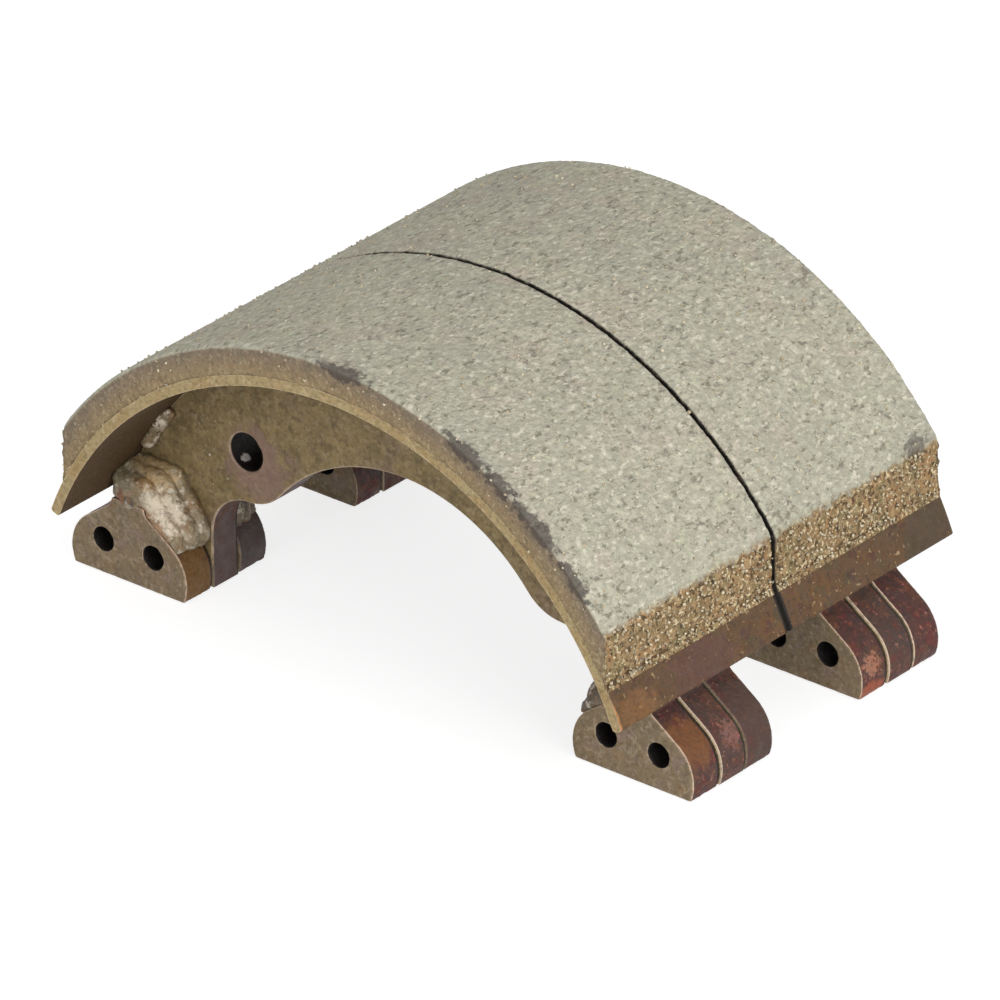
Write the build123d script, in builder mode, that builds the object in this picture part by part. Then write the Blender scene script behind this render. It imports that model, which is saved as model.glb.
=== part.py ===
from build123d import *

import os
from math import acos, asin, atan2, cos, degrees, radians, sin, sqrt

# Wide brake shoe in two T-section halves that stand side by side on their own feet.
# Each half is an arched friction lining bonded to a rolled table, a flat web welded
# under the table, and four tip plates welded to the web, two at each end.
#
# Frame, in millimetres: X is the chord, from the left end to the right end. Y is the
# drum axis, from the front half to the rear half, with Y = 0 at the seam between them.
# +Z is up. The feet stand on Z = 0, and X = 0 is the middle of the arch.

# ---- lining and table -------------------------------------------------------------
drum_radius = 207.5  # working face of the lining
lining_thickness = 15.5
lining_width = 126.4
lining_gap = 0.6  # between the two linings
lining_inset = 2.8  # from the table's tip, at its underside, in to the lining's square end
lining_arris = 1.2  # broken edge along both sides of the working face
table_thickness = 5.5
table_inset = 1.2  # each side of the table, in from the lining's side
table_half_angle = 68.3  # degrees from the crown to the table's tip
table_tip_round = 1.5

# ---- web --------------------------------------------------------------------------
web_thickness = 19.0
web_crown_depth = 61.0  # from the table's underside down to the top of the arch
web_hole_radius = 10.0
web_hole_x = 98.2
web_hole_depth = 41.5  # below the table's underside, measured radially
web_hole_chamfer = 1.0
web_lobe_radius = 27.0  # lobe round the hole
web_heel_radius = 25.0  # inside corner between the lobe and the foot
web_sole_lift = 1.0  # the web stops short of the tip plates' soles
web_arris = 0.6

# ---- feet -------------------------------------------------------------------------
foot_drop = 45.0  # from the table's tip, at its underside, down to the soles
foot_inset = 15.3  # from the table's tip in to the middle of the foot
foot_bulge_radius = 23.4
foot_bulge_x = 14.0  # centre of the bulge, out from the middle of the foot
foot_bulge_z = 9.5  # centre of the bulge, up from the sole
foot_flank_angle = 55.0  # where the bulge runs into the straight flank, in degrees
foot_neck_half_width = 10.8
foot_neck_radius = 5.0  # inside corner between the flank and the neck
foot_inner_half_width = 36.5  # middle of the foot to the web's upright inner edge
plate_thickness = 20.0
plate_height = 44.0
plate_seam = 0.5  # between a tip plate and the web
plate_arris = 0.6
bolt_hole_radius = 6.25
bolt_spacing = 32.0
bolt_height = 19.0

# ---- welds ------------------------------------------------------------------------
tip_weld_reach = 13.0  # how far a tip weld spreads over the web, past the flank
tip_weld_lip = 1.5  # and how far over the flank at the plate's outer face
tip_weld_swell = 2.0  # how far it bulges in between
tip_weld_foot_height = 24.0  # height of its lower end above the sole
tip_weld_crest_inset = 7.3  # its crest, in from the middle of the foot at the outer face
tip_weld_crest_rise = 11.4  # and up from the plate's top
tip_weld_shoulder_share = 1.2  # the shoulder moves inward by this share of the spread
tip_weld_low_share = 0.75  # the spread left beside the lower end
tip_weld_crest_share = 0.5  # and how much of it raises the crest
web_weld_leg = 8.0
web_weld_fullness = 1.5  # radius of its hollow face, as a share of the leg
web_weld_length = 28.0  # measured along the table
web_weld_gap = 3.5  # from a tip weld's crest up to the stitch above it
web_weld_crown_angle = 21.0  # middle of the other stitch, in degrees from the crown

# ---- sizes that follow ------------------------------------------------------------
table_outer_radius = drum_radius - lining_thickness
table_inner_radius = table_outer_radius - table_thickness
table_width = lining_width - 2 * table_inset
tip_x = table_inner_radius * sin(radians(table_half_angle))
tip_height = table_inner_radius * cos(radians(table_half_angle))
axis_z = foot_drop - tip_height  # the drum axis lies below the soles
lining_half_chord = tip_x - lining_inset
foot_x = tip_x - foot_inset
half_pitch = (lining_width + lining_gap) / 2
plate_offset = web_thickness / 2 + plate_seam  # web's middle to a plate's inner face
tip_weld_crest_z = plate_height + tip_weld_crest_rise + tip_weld_crest_share * tip_weld_reach
web_weld_turn = degrees(web_weld_length / table_inner_radius)
web_weld_low_z = tip_weld_crest_z + web_weld_gap
web_weld_low_end = degrees(acos((web_weld_low_z - axis_z) / (table_inner_radius - web_weld_leg)))
web_weld_angles = (web_weld_crown_angle, web_weld_low_end - web_weld_turn / 2)
web_hole_z = axis_z + sqrt((table_inner_radius - web_hole_depth) ** 2 - web_hole_x**2)
neck_x = foot_x + foot_neck_half_width
foot_inner_x = foot_x - foot_inner_half_width

halves = {"front": -half_pitch, "rear": half_pitch}
ends = {"left": -1, "right": 1}
os.makedirs("parts", exist_ok=True)


def upright_plane(y):
    """Plane across the drum axis at this Y, drawn with X to the right and Z up."""
    return Plane.XZ.offset(-y)


def save(piece, node):
    piece.part.label = node
    export_step(piece.part, f"parts/{node}.step")


def foot_face(height, half=False):
    """Bell outline of a foot, standing on its sole at the origin.

    Its neck is drawn longer than any foot and trimmed at this height.
    """
    angle = radians(foot_flank_angle)
    start = -degrees(asin(foot_bulge_z / foot_bulge_radius))
    flank_top = foot_bulge_z + foot_bulge_radius * sin(angle)
    flank_run = foot_bulge_x + foot_bulge_radius * cos(angle) - foot_neck_half_width
    corner_z = flank_top + flank_run * cos(angle) / sin(angle)
    neck_top = corner_z + height
    with BuildSketch() as face:
        with BuildLine():
            bulge_centre = (foot_bulge_x, foot_bulge_z)
            sweep_angle = foot_flank_angle - start
            bulge = CenterArc(bulge_centre, foot_bulge_radius, start, sweep_angle)
            Line((0, 0), bulge @ 0)
            flank = Line(bulge @ 1, (foot_neck_half_width, corner_z))
            neck = Line(flank @ 1, (foot_neck_half_width, neck_top))
            top = Line(neck @ 1, (0, neck_top))
            Line(top @ 1, (0, 0))
        make_face()
        corner = face.vertices().sort_by_distance((foot_neck_half_width, corner_z))[0]
        fillet(corner, radius=foot_neck_radius)
        on_sole = (Align.CENTER, Align.MIN)
        Rectangle(2 * foot_drop + 2 * neck_top, height, align=on_sole, mode=Mode.INTERSECT)
        if not half:
            mirror(about=Plane.YZ)
    return face.sketch


def build_lining(half, y):
    with BuildPart() as lining:
        with BuildSketch(upright_plane(y)):
            with Locations((0, axis_z)):
                Circle(drum_radius)
                Circle(table_outer_radius, mode=Mode.SUBTRACT)
                align_up = (Align.CENTER, Align.MIN)
                Rectangle(2 * lining_half_chord, drum_radius, align=align_up, mode=Mode.INTERSECT)
        extrude(amount=lining_width / 2, both=True)
        rims = lining.edges().filter_by(GeomType.CIRCLE).group_by(SortBy.RADIUS)[-1]
        chamfer(rims, length=lining_arris)
    save(lining, f"lining_{half}_half")


def build_table(half, y):
    with BuildPart() as table:
        with BuildSketch(upright_plane(y)):
            with BuildLine():
                centre = (0, axis_z)
                start = 90 - table_half_angle
                outer = CenterArc(centre, table_outer_radius, start, 2 * table_half_angle)
                inner = CenterArc(centre, table_inner_radius, start, 2 * table_half_angle)
                Line(outer @ 0, inner @ 0)
                Line(outer @ 1, inner @ 1)
            make_face()
        extrude(amount=table_width / 2, both=True)
        tips = table.edges().filter_by(Axis.Y)
        fillet(tips, radius=table_tip_round)
    save(table, f"table_{half}_half")


def web_half_face():
    """Right half of the web: arch, lobe round the hole, heel and foot."""
    under_crown = axis_z + table_inner_radius
    crown_z = under_crown - web_crown_depth
    # The arch is the circle through the crown that touches the lobe.
    reach = crown_z + web_lobe_radius
    arch_z = (reach**2 - web_hole_x**2 - web_hole_z**2) / (2 * (reach - web_hole_z))
    arch_radius = crown_z - arch_z
    arch_end = degrees(atan2(web_hole_z - arch_z, web_hole_x))
    # The heel's circle touches the lobe and the foot's upright inner edge.
    heel_x = foot_inner_x - web_heel_radius
    heel_reach = web_lobe_radius + web_heel_radius
    heel_turn = degrees(acos((web_hole_x - heel_x) / heel_reach))
    heel_z = web_hole_z - heel_reach * sin(radians(heel_turn))
    neck_angle = degrees(acos(neck_x / table_inner_radius))
    neck_top = axis_z + table_inner_radius * sin(radians(neck_angle))
    with BuildSketch() as face:
        with BuildLine():
            arch = CenterArc((0, arch_z), arch_radius, arch_end, 90 - arch_end)
            lobe_turn = heel_turn - arch_end
            lobe_centre = (web_hole_x, web_hole_z)
            CenterArc(lobe_centre, web_lobe_radius, arch_end - 180, lobe_turn)
            heel = CenterArc((heel_x, heel_z), web_heel_radius, 0, heel_turn)
            back = CenterArc((0, axis_z), table_inner_radius, neck_angle, 90 - neck_angle)
            Line(arch @ 1, back @ 1)
            edge = Line(heel @ 0, (foot_inner_x, web_sole_lift))
            base = Line(edge @ 1, (foot_x, web_sole_lift))
            rise = Line(base @ 1, (foot_x, neck_top))
            Line(rise @ 1, back @ 0)
        make_face()
        # The foot's neck runs up to the table.
        with Locations((foot_x, 0)):
            add(foot_face(neck_top, half=True))
        # The web stops short of the soles.
        with Locations((foot_x, web_sole_lift)):
            below = (Align.CENTER, Align.MAX)
            Rectangle(4 * foot_bulge_radius, foot_drop, align=below, mode=Mode.SUBTRACT)
        with Locations(lobe_centre):
            Circle(web_hole_radius, mode=Mode.SUBTRACT)
        with Locations(*bolt_places()):
            Circle(bolt_hole_radius, mode=Mode.SUBTRACT)
    return face.sketch


def bolt_places():
    return [(foot_x + side * bolt_spacing / 2, bolt_height) for side in (-1, 1)]


def build_web(half, y):
    with BuildPart() as web:
        with BuildSketch(upright_plane(y)):
            add(web_half_face())
            mirror(about=Plane.YZ)
        extrude(amount=web_thickness / 2, both=True)
        for face in (web.faces().sort_by(Axis.Y)[0], web.faces().sort_by(Axis.Y)[-1]):
            rim = face.outer_wire().edges()
            against_table = rim.filter_by(
                lambda edge: edge.geom_type == GeomType.CIRCLE
                and abs(edge.radius - table_inner_radius) < web_arris
            )
            holes = face.inner_wires().edges()
            web_holes = holes.filter_by(lambda edge: edge.radius > bolt_hole_radius + web_arris)
            chamfer(rim - against_table, length=web_arris)
            chamfer(web_holes, length=web_hole_chamfer)
    save(web, f"web_{half}_half")


def build_tip_plate(node, y, end, side):
    """Tip plate at this end, against the web on this side of it."""
    with BuildPart() as plate:
        with BuildSketch(upright_plane(y + side * plate_offset)):
            with Locations((end * foot_x, 0)):
                add(foot_face(plate_height))
            with Locations(*((end * x, z) for x, z in bolt_places())):
                Circle(bolt_hole_radius, mode=Mode.SUBTRACT)
        extrude(amount=-side * plate_thickness)
        for face in (plate.faces().sort_by(Axis.Y)[0], plate.faces().sort_by(Axis.Y)[-1]):
            chamfer(face.outer_wire().edges(), length=plate_arris)
    save(plate, node)


def tip_weld_outline(spread):
    """Edge of a tip weld, from its lower end over the flank and up to its crest.

    Points are measured inward from the middle of the foot and up from the sole.
    """
    low_angle = degrees(asin((tip_weld_foot_height - foot_bulge_z) / foot_bulge_radius))
    mid_angle = (low_angle + foot_flank_angle) / 2

    def off_bulge(distance, angle):
        reach = foot_bulge_radius + distance
        along = foot_bulge_x + reach * cos(radians(angle))
        return (along, foot_bulge_z + reach * sin(radians(angle)))

    lean = radians(foot_flank_angle)
    shoulder_x = foot_neck_half_width + foot_neck_radius / 2
    run = (foot_bulge_x + foot_bulge_radius * cos(lean) - shoulder_x) / sin(lean)
    shoulder_z = foot_bulge_z + foot_bulge_radius * sin(lean) + run * cos(lean)
    shoulder_u = shoulder_x + tip_weld_shoulder_share * spread
    crest_z = plate_height + tip_weld_crest_rise + tip_weld_crest_share * spread
    return [
        off_bulge(-tip_weld_lip, low_angle),
        off_bulge(tip_weld_low_share * spread, mid_angle),
        off_bulge(spread, foot_flank_angle),
        (shoulder_u, shoulder_z + spread * sin(lean)),
        (tip_weld_crest_inset + spread, crest_z),
    ]


def build_tip_weld(node, y, end, side):
    """Weld that fills the step from the web out over the top of a tip plate."""
    web_face = y + side * web_thickness / 2
    depth = plate_seam + plate_thickness
    sections = (
        (0.0, tip_weld_reach),
        (depth / 2, (tip_weld_reach + tip_weld_lip) / 2 + tip_weld_swell),
        (depth, tip_weld_lip),
    )
    with BuildPart() as weld:
        for out, spread in sections:
            with BuildSketch(upright_plane(web_face + side * out)):
                with BuildLine():
                    points = [(end * (foot_x - u), z) for u, z in tip_weld_outline(spread)]
                    toe = Spline(*points)
                    neck_side = end * neck_x
                    top = Line(toe @ 1, (neck_side, points[-1][1]))
                    back = Line(top @ 1, (neck_side, tip_weld_foot_height))
                    Line(back @ 1, toe @ 0)
                make_face()
        loft()
        with BuildSketch(upright_plane(web_face)):
            with Locations((end * foot_x, 0)):
                add(foot_face(plate_height))
        extrude(amount=-side * depth, mode=Mode.SUBTRACT)
        with BuildSketch(upright_plane(web_face)):
            with Locations((0, axis_z)):
                Circle(table_inner_radius)
        extrude(amount=-side * depth, mode=Mode.INTERSECT)
    save(weld, node)


def build_web_weld(node, y, side):
    """Stitch welds along the corner between one side of the web and the table."""
    web_face = y + side * web_thickness / 2
    drum_axis = Axis((0, 0, axis_z), (0, 1, 0))
    with BuildPart() as weld:
        for middle in (sign * angle for sign in (-1, 1) for angle in web_weld_angles):
            start = radians(middle - web_weld_turn / 2)
            radial = Plane((0, 0, axis_z), x_dir=(0, 1, 0), z_dir=(cos(start), 0, -sin(start)))
            with BuildSketch(radial):
                with BuildLine():
                    toe_out = (web_face + side * web_weld_leg, table_inner_radius)
                    toe_down = (web_face, table_inner_radius - web_weld_leg)
                    corner = (web_face, table_inner_radius)
                    Line(corner, toe_out)
                    RadiusArc(toe_out, toe_down, -side * web_weld_fullness * web_weld_leg)
                    Line(toe_down, corner)
                make_face()
            revolve(axis=drum_axis, revolution_arc=web_weld_turn)
    save(weld, node)


for half, y in halves.items():
    build_lining(half, y)
    build_table(half, y)
    build_web(half, y)
    for side_name, side in (("front", -1), ("rear", 1)):
        build_web_weld(f"web_weld_{half}_half_{side_name}_side", y, side)
        for end_name, end in ends.items():
            place = f"{half}_half_{end_name}_{side_name}_side"
            build_tip_plate(f"tip_plate_{place}", y, end, side)
            build_tip_weld(f"tip_weld_{place}", y, end, side)
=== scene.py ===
import random
from math import asin, atan2, cos, hypot, pi, radians, sin, sqrt

import bpy
from bpy.props import FloatProperty, FloatVectorProperty, IntProperty, PointerProperty
from mathutils import Matrix, Vector
from mathutils.bvhtree import BVHTree


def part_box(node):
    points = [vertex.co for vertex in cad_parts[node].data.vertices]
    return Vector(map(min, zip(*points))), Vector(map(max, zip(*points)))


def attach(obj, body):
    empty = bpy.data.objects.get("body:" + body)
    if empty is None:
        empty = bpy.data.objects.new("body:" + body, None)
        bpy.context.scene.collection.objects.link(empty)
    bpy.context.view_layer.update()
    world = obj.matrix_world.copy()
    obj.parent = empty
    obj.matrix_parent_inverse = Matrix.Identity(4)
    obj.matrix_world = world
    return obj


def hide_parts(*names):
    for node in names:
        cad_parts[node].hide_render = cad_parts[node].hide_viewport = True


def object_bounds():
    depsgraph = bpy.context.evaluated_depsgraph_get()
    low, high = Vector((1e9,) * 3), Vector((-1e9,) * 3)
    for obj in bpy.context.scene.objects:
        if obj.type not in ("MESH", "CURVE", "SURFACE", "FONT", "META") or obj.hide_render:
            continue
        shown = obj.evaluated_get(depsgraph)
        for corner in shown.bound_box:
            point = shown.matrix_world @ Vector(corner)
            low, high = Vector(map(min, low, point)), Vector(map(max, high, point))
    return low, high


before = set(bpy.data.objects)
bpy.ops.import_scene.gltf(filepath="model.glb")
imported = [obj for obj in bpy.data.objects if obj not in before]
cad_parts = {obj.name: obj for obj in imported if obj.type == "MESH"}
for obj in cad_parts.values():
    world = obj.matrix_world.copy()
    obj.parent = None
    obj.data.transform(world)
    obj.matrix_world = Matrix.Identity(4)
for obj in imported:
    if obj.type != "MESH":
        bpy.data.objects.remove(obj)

bl_info = {
    "name": "Brake Shoe Finish",
    "version": (1, 0, 0),
    "blender": (4, 5, 0),
    "location": "3D View > Sidebar > Brake Shoe",
    "description": "Dresses a wide two-part drum brake shoe with its linings, welds, steel and stage",
    "category": "Object",
}

# ---- places taken from the frame -----------------------------------------------------
CAD_BOX = [list(corner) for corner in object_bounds()]
HALVES = ("front", "rear")
ENDS = ("left", "right")
SIDES = {"front": -1, "rear": 1}
MM = 0.001
MERGE = 0.01 * MM  # corners nearer than this are one

LINING_LOW, LINING_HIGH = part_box("lining_front_half")
TABLE_LOW, TABLE_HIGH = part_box("table_front_half")
WEB_LOW, WEB_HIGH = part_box("web_front_half")
PLATE_LOW, PLATE_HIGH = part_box("tip_plate_front_half_left_front_side")
DRUM_RADIUS = 207.5 * MM
AXIS_Z = LINING_HIGH.z - DRUM_RADIUS  # the drum's axis lies below the soles
TABLE_OUTER = TABLE_HIGH.z - AXIS_Z
TABLE_INNER = 186.5 * MM
LINING_END_X = LINING_HIGH.x
FOOT_X = -(PLATE_LOW.x + PLATE_HIGH.x) / 2  # middle of a foot
HALF_PITCH = LINING_HIGH.y - LINING_LOW.y + 2 * abs(LINING_HIGH.y)  # from one half to the other
LAYER_PITCH = WEB_HIGH.y - PLATE_LOW.y + (WEB_LOW.y - PLATE_HIGH.y)  # plate to plate on one foot
BOLT_HEIGHT = 19.0 * MM
BOLT_SPACING = 32.0 * MM
BOLT_RADIUS = 6.25 * MM
WEB_HOLE_X = 98.2 * MM
WEB_HOLE_Z = 82.7 * MM
WEB_HOLE_RADIUS = 10.0 * MM


def bolt_xs():
    """X of the two bolt holes of a foot, as distances from the middle of the shoe."""
    return (FOOT_X - BOLT_SPACING / 2, FOOT_X + BOLT_SPACING / 2)


def from_hex(code):
    """Scene-linear colour, with its alpha, of an sRGB hex value such as 7a6a4c."""
    parts = [int(code[i:i + 2], 16) / 255 for i in (0, 2, 4)]
    return (*(c / 12.92 if c <= 0.04045 else ((c + 0.055) / 1.055) ** 2.4 for c in parts), 1.0)


# ---- sizes and colours that a user would change ---------------------------------------
def length(label, text, millimetres):
    return FloatProperty(
        name=label, description=text, default=millimetres * MM, min=0.0, unit="LENGTH", precision=5
    )


def colour(label, text, code):
    return FloatVectorProperty(
        name=label, description=text, default=from_hex(code), size=4, min=0.0, max=1.0, subtype="COLOR"
    )


class ShoeSizes(bpy.types.PropertyGroup):
    """Sizes of the finish, in metres."""

    lining_facet: length("Lining facet", "Width of a facet on a lining", 1.3)
    lining_arris: length("Lining arris", "Worn round along the sides of the working face", 1.2)
    lining_crumble: length("Crumbled depth", "Most that the sawn ends and edges have lost", 2.4)
    lining_pit: length("Pit depth", "Depth of the pits in the working face", 0.5)
    grain_size: length("Grain size", "Radius of a chip of brass or mineral in the lining", 0.95)
    plate_facet: length("Plate facet", "Width of a facet on a tip plate", 0.85)
    plate_arris: length("Plate arris", "Rounding that the cutting flame left on a tip plate", 1.1)
    plate_scale: length("Plate roughness", "Depth of the flame's marks in a cut edge", 0.45)
    weld_facet: length("Weld facet", "Width of a facet on a weld", 0.8)
    weld_pass: length("Pass height", "How far a pass stands out of its weld", 1.5)
    weld_ripple: length("Ripple height", "How far a ripple stands out of its pass", 0.5)
    weld_pitch: length("Ripple pitch", "From one ripple to the next", 3.6)
    grains_per_half: IntProperty(
        name="Grains", description="Loose chips that stand out of each lining", default=1000, min=1
    )


class ShoeColours(bpy.types.PropertyGroup):
    """Colours of the finish."""

    lining_face: colour("Lining face", "Swept working face of the lining", "bfbca7")
    lining_side: colour("Lining side", "Sawn and moulded sides of the lining", "8b7453")
    chip: colour("Chip", "Pale mineral and brass chips", "d6cbb0")
    web_steel: colour("Web steel", "Coating on the flat faces of the webs", "8a7650")
    plate_steel: colour("Plate steel", "Coating on the flat faces of the tip plates", "7d6b50")
    table_steel: colour("Table steel", "Edge of the table beside the lining", "a8946a")
    rust: colour("Rust", "Dark red-purple rust on the cut edges", "4e2c28")
    weld: colour("Weld metal", "Bright weld metal", "dccfbb")
    floor: colour("Floor", "Floor and backdrop", "ffffff")


# ---- small helpers --------------------------------------------------------------------
def sizes():
    return bpy.context.scene.shoe_sizes


def colours():
    return bpy.context.scene.shoe_colours


def deselect_all():
    bpy.ops.object.select_all(action="DESELECT")


def make_active(piece):
    deselect_all()
    piece.select_set(True)
    bpy.context.view_layer.objects.active = piece


def apply_modifier(piece, kind, **settings):
    """Add a modifier to the piece, set it and apply it."""
    make_active(piece)
    modifier = piece.modifiers.new(kind.title(), kind)
    for name, value in settings.items():
        setattr(modifier, name, value)
    bpy.ops.object.modifier_apply(modifier=modifier.name)


def roughen(piece, size_mm, depth, group="", mid_level=1.0):
    """Displace the piece by clouds of this size; a mid level of 1 only ever takes away."""
    texture = bpy.data.textures.new(f"{piece.name} {size_mm} mm", "CLOUDS")
    texture.noise_scale = size_mm * MM
    texture.noise_depth = 2
    apply_modifier(
        piece, "DISPLACE", texture=texture, texture_coords="LOCAL",
        strength=depth, mid_level=mid_level, vertex_group=group,
    )


def weigh(piece, name, weight_at):
    """Give the piece a vertex group from a function of place."""
    group = piece.vertex_groups.new(name=name)
    for vertex in piece.data.vertices:
        group.add([vertex.index], weight_at(vertex.co), "REPLACE")


def near(distance, reach):
    """1 at no distance, falling to 0 at this reach."""
    return max(0.0, 1.0 - max(distance, 0.0) / reach)


def keep_inside(piece, low, high):
    """Bring in what a finish left outside the node's own box."""
    for vertex in piece.data.vertices:
        for axis in range(3):
            vertex.co[axis] = min(max(vertex.co[axis], low[axis]), high[axis])


def copy_of_node(node, name):
    """A merged copy of a CAD node's mesh, in a new object."""
    piece = bpy.data.objects.new(name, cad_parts[node].data.copy())
    bpy.context.scene.collection.objects.link(piece)
    make_active(piece)
    bpy.ops.object.mode_set(mode="EDIT")
    bpy.ops.mesh.select_all(action="SELECT")
    bpy.ops.mesh.remove_doubles(threshold=MERGE)
    bpy.ops.mesh.normals_make_consistent(inside=False)
    bpy.ops.object.mode_set(mode="OBJECT")
    return piece


def copy_and_join(pattern, moves, name):
    """Copy a pattern once for each move, join the copies, and drop the pattern."""
    copies = []
    for move in moves:
        copy = bpy.data.objects.new(name, pattern.data.copy())
        copy.data.transform(move)
        bpy.context.scene.collection.objects.link(copy)
        copies.append(copy)
    bpy.data.objects.remove(pattern)
    make_active(copies[0])
    for copy in copies:
        copy.select_set(True)
    bpy.ops.object.join()
    return bpy.context.active_object


def finish(piece, material, node=None):
    """Smooth shading, material, slot and body, and the node that the piece stands for."""
    make_active(piece)
    bpy.ops.object.shade_smooth()
    piece.data.materials.clear()
    piece.data.materials.append(material)
    if node:
        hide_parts(node)
    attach(piece, "root")


# ---- material nodes -------------------------------------------------------------------
def add_node(tree, kind, sockets=None, **settings):
    """Add a node with its settings, and a value or a link for each socket named."""
    made = tree.nodes.new(kind)
    for name, value in settings.items():
        setattr(made, name, value)
    for key, value in (sockets or {}).items():
        if isinstance(value, bpy.types.NodeSocket):
            tree.links.new(value, made.inputs[key])
        else:
            made.inputs[key].default_value = value
    return made


def new_material(name):
    """An empty node material, its tree, and the object's own coordinates in it."""
    material = bpy.data.materials.new(name)
    material.use_nodes = True
    tree = material.node_tree
    tree.nodes.clear()
    return material, tree, add_node(tree, "ShaderNodeTexCoord").outputs["Object"]


def mottle(tree, place, size_mm, low, high, amount=1.0, detail=4.0, roughness=0.6):
    """Noise with features of this size, from 0 below `low` to `amount` above `high`."""
    noise = add_node(
        tree, "ShaderNodeTexNoise",
        {"Vector": place, "Scale": 1.0 / (size_mm * MM), "Detail": detail, "Roughness": roughness},
    )
    cut = add_node(
        tree, "ShaderNodeMapRange",
        {"Value": noise.outputs["Fac"], "From Min": low, "From Max": high, "To Max": amount},
        interpolation_type="SMOOTHSTEP",
    )
    return cut.outputs[0]


def patch(tree, place, centre, half_size, turn, amount, ragged_mm, ragged):
    """A ragged blot round this place in mm, as large as an ellipsoid turned about Y."""
    moved = add_node(
        tree, "ShaderNodeMapping",
        {
            "Vector": place, "Location": [MM * value for value in centre],
            "Rotation": (0.0, radians(turn), 0.0), "Scale": [MM * value for value in half_size],
        },
        vector_type="TEXTURE",
    )
    away = add_node(tree, "ShaderNodeVectorMath", {0: moved.outputs[0]}, operation="LENGTH")
    noise = add_node(
        tree, "ShaderNodeTexNoise",
        {"Vector": place, "Scale": 1.0 / (ragged_mm * MM), "Detail": 5.0, "Roughness": 0.65},
    )
    rough = add_node(
        tree, "ShaderNodeMath",
        {0: noise.outputs["Fac"], 1: 2.0 * ragged, 2: away.outputs["Value"]}, operation="MULTIPLY_ADD",
    )
    fade = add_node(
        tree, "ShaderNodeMapRange",
        {
            "Value": rough.outputs[0],
            "From Min": 1.15 + ragged, "From Max": 0.65 + ragged, "To Max": amount,
        },
        interpolation_type="SMOOTHSTEP",
    )
    return fade.outputs[0]


def coats(tree, base, *layers):
    """Colours laid over the base in turn, each by its own factor."""
    for factor, over in layers:
        base = add_node(
            tree, "ShaderNodeMix", {"Factor": factor, "A": base, "B": over}, data_type="RGBA"
        ).outputs[2]
    return base


def unrolled(tree, place):
    """Place as length along the drum, then Y, then distance from the drum's axis."""
    axes = add_node(tree, "ShaderNodeSeparateXYZ", {"Vector": place})
    height = add_node(tree, "ShaderNodeMath", {0: axes.outputs["Z"], 1: AXIS_Z}, operation="SUBTRACT")
    turn = add_node(
        tree, "ShaderNodeMath", {0: axes.outputs["X"], 1: height.outputs[0]}, operation="ARCTAN2"
    )
    along = add_node(tree, "ShaderNodeMath", {0: turn.outputs[0], 1: DRUM_RADIUS}, operation="MULTIPLY")
    spoke = add_node(
        tree, "ShaderNodeCombineXYZ", {"X": axes.outputs["X"], "Z": height.outputs[0]}
    )
    radius = add_node(tree, "ShaderNodeVectorMath", {0: spoke.outputs[0]}, operation="LENGTH")
    flat = add_node(
        tree, "ShaderNodeCombineXYZ",
        {"X": along.outputs[0], "Y": axes.outputs["Y"], "Z": radius.outputs["Value"]},
    )
    return flat.outputs[0], radius.outputs["Value"]


def bore_shade(tree, place, x, z, radius, reach, amount):
    """Painted shade in the bores at X either way and this height: 1 on their walls, fading over the
    reach.
    """
    across = add_node(tree, "ShaderNodeVectorMath", {0: place}, operation="ABSOLUTE")
    away = add_node(
        tree, "ShaderNodeVectorMath", {0: across.outputs[0], 1: (x, 0.0, z)}, operation="SUBTRACT"
    )
    away = add_node(
        tree, "ShaderNodeVectorMath", {0: away.outputs[0], 1: (1.0, 0.0, 1.0)}, operation="MULTIPLY"
    )
    away = add_node(tree, "ShaderNodeVectorMath", {0: away.outputs[0]}, operation="LENGTH")
    fade = add_node(
        tree, "ShaderNodeMapRange",
        {
            "Value": away.outputs["Value"],
            "From Min": radius + reach, "From Max": radius, "To Max": amount,
        },
        interpolation_type="SMOOTHSTEP",
    )
    return fade.outputs[0]


def cross_band(tree, place, y_low, y_high, soft, amount, fold="WRAP"):
    """1 between these two Y of the front half, and as far into the rear half.

    With the fold set to ABSOLUTE, 1 where the distance from Y = 0 is between the two.
    """
    axes = add_node(tree, "ShaderNodeSeparateXYZ", {"Vector": place})
    folded = add_node(
        tree, "ShaderNodeMath", {0: axes.outputs["Y"], 1: 0.0, 2: -HALF_PITCH}, operation=fold
    )
    away = add_node(
        tree, "ShaderNodeMath", {0: folded.outputs[0], 1: (y_low + y_high) / 2}, operation="SUBTRACT"
    )
    away = add_node(tree, "ShaderNodeMath", {0: away.outputs[0]}, operation="ABSOLUTE")
    half = (y_high - y_low) / 2
    fade = add_node(
        tree, "ShaderNodeMapRange",
        {"Value": away.outputs[0], "From Min": half + soft, "From Max": half, "To Max": amount},
        interpolation_type="SMOOTHSTEP",
    )
    return fade.outputs[0]


def worn_arris(tree, place, reach_mm, amount):
    """Outer corners of the steel, rubbed bare in places by handling."""
    rounded = add_node(tree, "ShaderNodeBevel", {"Radius": reach_mm * MM}, samples=6)
    flat = add_node(tree, "ShaderNodeNewGeometry")
    along = add_node(
        tree, "ShaderNodeVectorMath",
        {0: rounded.outputs[0], 1: flat.outputs["True Normal"]}, operation="DOT_PRODUCT",
    )
    corner = add_node(
        tree, "ShaderNodeMapRange",
        {"Value": along.outputs["Value"], "From Min": 0.985, "From Max": 0.86, "To Max": amount},
    )
    broken = mottle(tree, place, 7.0, 0.34, 0.52)
    return add_node(
        tree, "ShaderNodeMath", {0: corner.outputs[0], 1: broken}, operation="MULTIPLY"
    ).outputs[0]


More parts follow.
